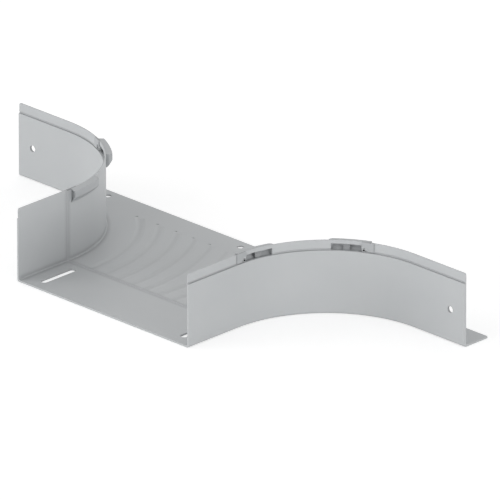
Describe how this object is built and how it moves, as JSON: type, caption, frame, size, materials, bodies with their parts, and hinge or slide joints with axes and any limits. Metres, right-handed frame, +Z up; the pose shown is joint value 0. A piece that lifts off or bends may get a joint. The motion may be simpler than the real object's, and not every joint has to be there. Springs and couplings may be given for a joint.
{
  "type": "cable tray tee",
  "caption": "Add-on tee for a cable tray: grooved floor, two curved side walls with cover clips on their rims, a socket for the branch tray and a landing under the main tray.",
  "frame": {"origin": "under the middle of the floor's outline, on the surface that the floor rests on", "axes": "+X along the main tray, +Y from the branch mouth to the main tray, +Z up, out of the open top"},
  "size_m": [0.7926, 0.2874, 0.1],
  "materials": {
    "body_plastic": "smooth satin, pale grey rigid PVC",
    "clip_plastic": "smooth satin, pale grey",
    "rivet_metal": "plain, dull"
  },
  "bodies": {
    "root": {"tee_body": "body_plastic", "cover_clip_right_front": "clip_plastic", "cover_clip_right_rear": "clip_plastic", "cover_clip_left_front": "clip_plastic", "cover_clip_left_rear": "clip_plastic", "clip_rivet_right_front": "rivet_metal", "clip_rivet_right_rear": "rivet_metal", "clip_rivet_left_front": "rivet_metal", "clip_rivet_left_rear": "rivet_metal"}
  },
  "joints": []
}
